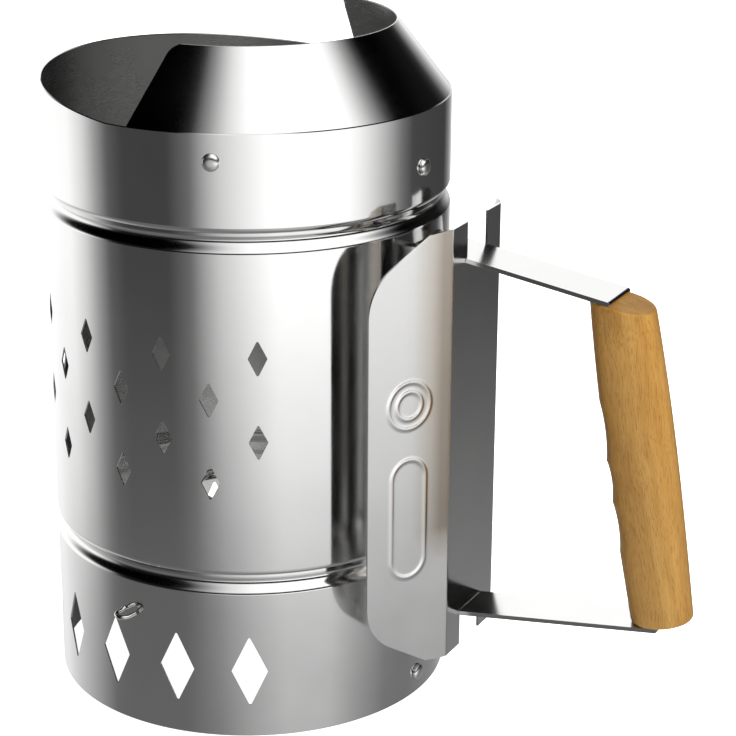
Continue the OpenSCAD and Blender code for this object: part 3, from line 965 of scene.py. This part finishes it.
def grip():
    down = Vector((sin(LEAN), 0, -cos(LEAN)))
    side = Vector((cos(LEAN), 0, sin(LEAN)))
    ring, rows = 96, 150
    top_plane = (UPPER_Z, tan(UPPER_SLOPE), -STRAP_T / cos(UPPER_SLOPE) - 0.02)
    low_plane = (LOWER_Z, tan(LOWER_SLOPE), 0.02)

    def above(p, plane):
        """How far a point is above a strap's face."""
        z0, fall, lift = plane
        return p.z - (z0 - (p.x - WEB_X) * fall + lift)

    def surface(depth, angle, shrink=0.0):
        r = grip_radius(1 - depth / GRIP_LEN) - shrink
        inner = max(0.0, -cos(angle))
        for a, b in zip(RIDGES, RIDGES[1:]):
            if a < depth < b:
                r -= 1.25 * sin(pi * (depth - a) / (b - a)) ** 0.8 * inner ** 1.2
        return GRIP_TOP + down * depth + side * (r * cos(angle)) + Vector((0, r * sin(angle), 0))

    def depth_at(angle, plane, guess):
        """Where the surface meets a strap's face, found by halving."""
        lo, hi = guess - 14, guess + 14
        for _ in range(30):
            mid = (lo + hi) / 2
            if above(surface(mid, angle), plane) > 0:
                lo = mid
            else:
                hi = mid
        return (lo + hi) / 2

    soft = 1.8
    points, faces = [], []
    angles = [TAU * j / ring for j in range(ring)]
    tops = [depth_at(a, top_plane, 0) for a in angles]
    lows = [depth_at(a, low_plane, GRIP_LEN) for a in angles]
    # Rounded corner at the top, straight run, rounded corner at the low end.
    arc = [pi / 2 * k / 5 for k in range(5)]
    levels = ([("top", v) for v in arc] + [("run", k / rows) for k in range(rows + 1)]
              + [("low", v) for v in reversed(arc)])
    for kind, v in levels:
        for a, top, low in zip(angles, tops, lows):
            if kind == "run":
                points.append(surface(lerp(top + soft, low - soft, v), a))
                continue
            inset = soft * (1 - cos(v))
            depth = top + inset if kind == "top" else low - inset
            points.append(surface(depth, a, soft * (1 - sin(v))))
    for i in range(len(levels) - 1):
        for j in range(ring):
            k = (j + 1) % ring
            faces.append([i * ring + j, (i + 1) * ring + j, (i + 1) * ring + k, i * ring + k])
    # End faces, as rings that close on the axis.
    for end in (0, len(levels) - 1):
        last = list(range(end * ring, (end + 1) * ring))
        outline = [points[i] for i in last]
        centre = sum((p / ring for p in outline), Vector())
        for k in range(1, 6):
            new = list(range(len(points), len(points) + ring))
            points += [p.lerp(centre, k / 6) for p in outline]
            for j in range(ring):
                m = (j + 1) % ring
                quad = [last[j], last[m], new[m], new[j]]
                faces.append(quad if end == 0 else quad[::-1])
            last = new
        faces.append(last if end == 0 else last[::-1])
    obj = new_mesh("wooden_grip", points, faces, materials=(wood,))
    faces_outward(obj)
    place(obj, "hardwood", "grip")


grip()


def grip_fixing():
    """The screw and its washer under the lower strap."""
    ahead, up = bar_axes(LOWER_SLOPE)
    start = Vector((WEB_X, 0, LOWER_Z)) + ahead * 89.5 - up * STRAP_T
    m = axes(ahead, (0, 1, 0), -up, start)
    washer = lathe([(2.15, 0.02), (4.7, 0.02), (5.0, 0.2), (5.0, 0.62), (4.8, 0.78), (2.4, 0.78),
                    (2.15, 0.6), (2.15, 0.02)], 48, False)
    obj = new_mesh("washer", moved(washer[0], m), washer[1], sharp=40, materials=(plated,))
    place(obj, "zinc", "screw_washer")
    head_r, head_h, seat = 4.0, 2.6, 0.82
    sphere = (head_r ** 2 + head_h ** 2) / (2 * head_h)
    rise = [asin(head_r / sphere) * (1 - k / 16) for k in range(17)]
    dome = [(max(0.02, sphere * sin(a)), seat + head_h - sphere + sphere * cos(a)) for a in rise]
    head = lathe([(2.0, -23.0), (2.0, seat), (3.9, seat)] + dome, 48)
    # A cross recess, pressed into the head.
    sunk = []
    for p in head[0]:
        x, y = abs(p.x), abs(p.y)
        if p.z > 0.9:
            slot = max(1 - smooth((min(x, y) - 0.35) / 0.35), 0) * (1 - smooth((max(x, y) - 1.7) / 0.5))
            p = Vector((p.x, p.y, p.z - 1.3 * slot))
        sunk.append(p)
    obj = new_mesh("screw", moved(sunk, m), head[1], sharp=40, materials=(plated,))
    place(obj, "zinc", "grip_screw")


grip_fixing()


# ---- grate
WIRE_R = 1.1
GRATE_Z = 56.1
CONE_R = R + 1.5
GRATE_TAN = tan(radians(21.8))


def rounded_line(points, radius, step=6):
    """A 3D polyline with its inner corners rounded."""
    out = [points[0]]
    for a, p, b in zip(points, points[1:], points[2:]):
        u, v = (a - p).normalized(), (b - p).normalized()
        turn = pi - u.angle(v)
        reach = radius * tan(turn / 2)
        start, end = p + u * reach, p + v * reach
        centre = p + (u + v).normalized() * (radius / cos(turn / 2))
        for k in range(step + 1):
            out.append(centre + (start - centre).slerp(end - centre, k / step).normalized() * radius)
    out.append(points[-1])
    return out


def tube_along(points, radius, ring=14, closed=False):
    """A round wire along a line of points."""
    n = len(points)
    out, faces = [], []
    normal = None
    for i, p in enumerate(points):
        before = points[i - 1] if i or closed else p
        after = points[(i + 1) % n] if i < n - 1 or closed else p
        tangent = (after - before).normalized()
        if normal is None:
            normal = tangent.orthogonal().normalized()
        normal = (normal - tangent * normal.dot(tangent)).normalized()
        other = tangent.cross(normal)
        for k in range(ring):
            a = TAU * k / ring
            out.append(p + normal * radius * cos(a) + other * radius * sin(a))
    last = n if closed else n - 1
    for i in range(last):
        for k in range(ring):
            m = (k + 1) % ring
            j = (i + 1) % n
            faces.append([i * ring + k, i * ring + m, j * ring + m, j * ring + k])
    if not closed:
        faces.append(list(range(ring))[::-1])
        faces.append([(n - 1) * ring + k for k in range(ring)])
    return out, faces


def cross_wire(name, turn, flat_r, node_name):
    """A wire up one side of the cone, flat over the middle and down the other, with a hook at each end."""
    top_z = GRATE_Z + (CONE_R - flat_r) * GRATE_TAN
    hook_x, hook_r, hook_end = R + 4.0, 3.6, R + 0.8

    def half(sign):
        """The sloped run from the middle out through the wall, and the hook outside it."""
        spin = Matrix.Rotation(turn + (0 if sign > 0 else pi), 3, "Z")
        line = [Vector((flat_r, 0, top_z)), Vector((CONE_R, 0, GRATE_Z)), Vector((hook_x, 0, GRATE_Z))]
        hook = [Vector((hook_x + hook_r * sin(a), hook_r - hook_r * cos(a), GRATE_Z))
                for a in (pi * k / 24 for k in range(1, 25))]
        hook.append(Vector((hook_end, 2 * hook_r, GRATE_Z)))
        return [spin @ p for p in line], [spin @ p for p in hook]

    a_line, a_hook = half(1)
    b_line, b_hook = half(-1)
    body = rounded_line(a_line[::-1] + b_line, 2.5)
    points, faces = tube_along(a_hook[::-1] + body + b_hook, WIRE_R, 16)
    obj = new_mesh(name, points, faces, sharp=50, materials=(wire_metal,))
    place(obj, "wire", node_name)


# The low wire's flat top is one wire's thickness below the high one's.
GRATE_TURN = radians(-8.6)
FLAT_R = 12.0
cross_wire("grate_wire_low", GRATE_TURN, FLAT_R + 2.22 / GRATE_TAN, "cross_wire_lower")
cross_wire("grate_wire_high", GRATE_TURN + pi / 2, FLAT_R, "cross_wire_upper")
for index in range(1, 6):
    lo, hi = mm_box(f"grate_ring_{index}")
    radius = (hi.x - lo.x) / 2 - WIRE_R
    z = (lo.z + hi.z) / 2
    line = [polar(radius, TAU * k / 120, z) for k in range(120)]
    points, faces = tube_along(line, WIRE_R, 14, True)
    ring_obj = new_mesh(f"grate_hoop_{index}", points, faces, materials=(wire_metal,))
    place(ring_obj, "wire", f"grate_ring_{index}")


# ---- studio
def floor():
    mat, t, bsdf = shader("pale_floor")
    co = node(t, "TexCoord").outputs["Object"]
    colour = ramp(t, noise(t, co, 6.0, 3.0), [(0.3, grey(0.90)), (0.7, grey(0.93))])
    t.links.new(colour, bsdf.inputs["Base Color"])
    bsdf.inputs["Roughness"].default_value = 0.9
    bsdf.inputs["Specular IOR Level"].default_value = 0.1
    bsdf.inputs["Emission Color"].default_value = (1, 1, 1, 1)
    bsdf.inputs["Emission Strength"].default_value = 0.95
    points = [polar(9000, TAU * k / 96, -0.3) for k in range(96)]
    obj = new_mesh("studio_floor", points, [list(range(96))], materials=(mat,))
    obj.visible_glossy = False


def studio_world():
    """A soft studio: white below and behind, a soft box above the camera's right, dark at both sides."""
    world = bpy.data.worlds.new("studio")
    bpy.context.scene.world = world
    world.use_nodes = True
    t = world.node_tree
    t.nodes.clear()
    direction = node(t, "TexCoord").outputs["Generated"]
    turned = node(t, "Mapping", {"Vector": direction, "Rotation": (0, 0, -VIEW_TURN)})
    xyz = node(t, "SeparateXYZ", {"Vector": turned.outputs[0]})
    around = math_node(t, "ARCTAN2", xyz.outputs["X"], math_node(t, "MULTIPLY", xyz.outputs["Y"], -1.0))
    fac = math_node(t, "MULTIPLY_ADD", around, 1 / TAU, 0.5)
    degrees = math_node(t, "MULTIPLY", math_node(t, "ARCSINE", xyz.outputs["Z"]), 180 / pi)

    def around_ramp(*stops):
        """Brightness by the angle round from the camera's side, as (degrees, brightness) stops."""
        return ramp(t, fac, [((a + 180) / 360, grey(v)) for a, v in stops])

    # Brightness round the object: just below the horizon, further down, the box high up on the
    # camera's right, and behind the object just above the horizon and higher up.
    shallow = around_ramp((-180, 0.9), (-160, 1.25), (-118, 1.2), (-104, 0.85), (-94, 0.42), (-84, 0.12),
                          (-73, 0.06), (-45, 0.06), (-32, 0.17), (-16, 0.75), (0, 1.1), (15, 1.4),
                          (52, 1.4), (63, 1.15), (73, 0.85), (84, 0.5), (94, 0.2), (104, 0.07),
                          (145, 0.055), (155, 0.26), (168, 0.7), (180, 0.9))
    steep = around_ramp((-180, 0.8), (-150, 0.9), (-125, 0.6), (-104, 0.34), (-90, 0.16), (-78, 0.15),
                        (-40, 0.15), (-20, 0.24), (0, 0.42), (20, 0.55), (45, 0.52), (63, 0.34),
                        (84, 0.2), (104, 0.2), (140, 0.3), (180, 0.6))
    over = around_ramp((-54, 0.0), (-45, 0.015), (-32, 0.35), (-17, 0.88), (0, 1.25), (17, 1.5),
                       (71, 1.5), (82, 1.0), (91, 0.42), (99, 0.07), (104, 0.0))
    behind = around_ramp((-180, 1.2), (-104, 1.2), (-92, 0.6), (-82, 0.03), (-76, 0.0), (136, 0.0),
                         (144, 0.05), (151, 0.3), (158, 0.7), (165, 1.2), (180, 1.2))
    far_side = around_ramp((-180, 1.3), (-160, 1.2), (-145, 0.0), (146, 0.0), (158, 1.2), (180, 1.3))

    def band(lo, hi):
        """From 0 to 1 between two elevations in degrees."""
        return remap(t, degrees, lo, hi, interpolation_type="SMOOTHSTEP")

    low = mix(t, band(-29, -15), steep, shallow)
    deep = mix(t, band(-75, -45), (0.22, 0.22, 0.22, 1), low)
    box = mix(t, band(17, 33), (0.008, 0.008, 0.008, 1), over)
    high = mix(t, band(46, 38), (0, 0, 0, 1), far_side)
    wall = mix(t, 1.0, box, mix(t, band(22, 6), high, behind), "ADD")
    sky = mix(t, band(70, 82), wall, (1.1, 1.1, 1.1, 1))
    everything = mix(t, band(-9, 1), deep, sky)
    light = node(t, "Background", {"Color": everything, "Strength": 1.0})
    paper = node(t, "Background", {"Color": (1, 1, 1, 1), "Strength": 1.0})
    camera_ray = node(t, "LightPath").outputs["Is Camera Ray"]
    chosen = node(t, "MixShader", {0: camera_ray, 1: light.outputs[0], 2: paper.outputs[0]})
    out = node(t, "OutputWorld")
    t.links.new(chosen.outputs[0], out.inputs["Surface"])


def key_light():
    """A large soft box for the matt surfaces, above and to the right of the camera."""
    data = bpy.data.lights.new("soft_box", "AREA")
    data.shape = "RECTANGLE"
    data.size, data.size_y = 1.2, 0.9
    data.energy = 24.0
    obj = bpy.data.objects.new("soft_box", data)
    bpy.context.scene.collection.objects.link(obj)
    turn, up = radians(69) - pi / 2 + VIEW_TURN, radians(50)
    away = Vector((cos(turn) * cos(up), sin(turn) * cos(up), sin(up)))
    obj.location = Vector((0.05, 0, 0.15)) + away * 1.6
    obj.rotation_euler = away.to_track_quat("Z", "Y").to_euler()
    obj.visible_glossy = False
    obj.visible_camera = False


def camera():
    """The photograph's view: fitted height, distance, aim, roll and focal length."""
    pan, pitch, roll = 0.0558, 0.344, 0.006
    data = bpy.data.cameras.new("camera")
    data.sensor_width = 36.0
    data.lens = 36.0 * 2235.28 / 736
    data.clip_start, data.clip_end = 0.01, 50
    obj = bpy.data.objects.new("camera", data)
    bpy.context.scene.collection.objects.link(obj)
    forward = Vector((sin(pan) * cos(pitch), cos(pan) * cos(pitch), -sin(pitch)))
    right = Vector((cos(pan), -sin(pan), 0))
    up = right.cross(forward)
    r2 = right * cos(roll) + up * sin(roll)
    u2 = up * cos(roll) - right * sin(roll)
    obj.matrix_world = Matrix.Rotation(VIEW_TURN, 4, "Z") @ axes(r2, u2, -forward, (0, -1.01914, 0.51296))
    bpy.context.scene.camera = obj


floor()
studio_world()
key_light()
camera()
bpy.context.scene.view_settings.view_transform = "Standard"
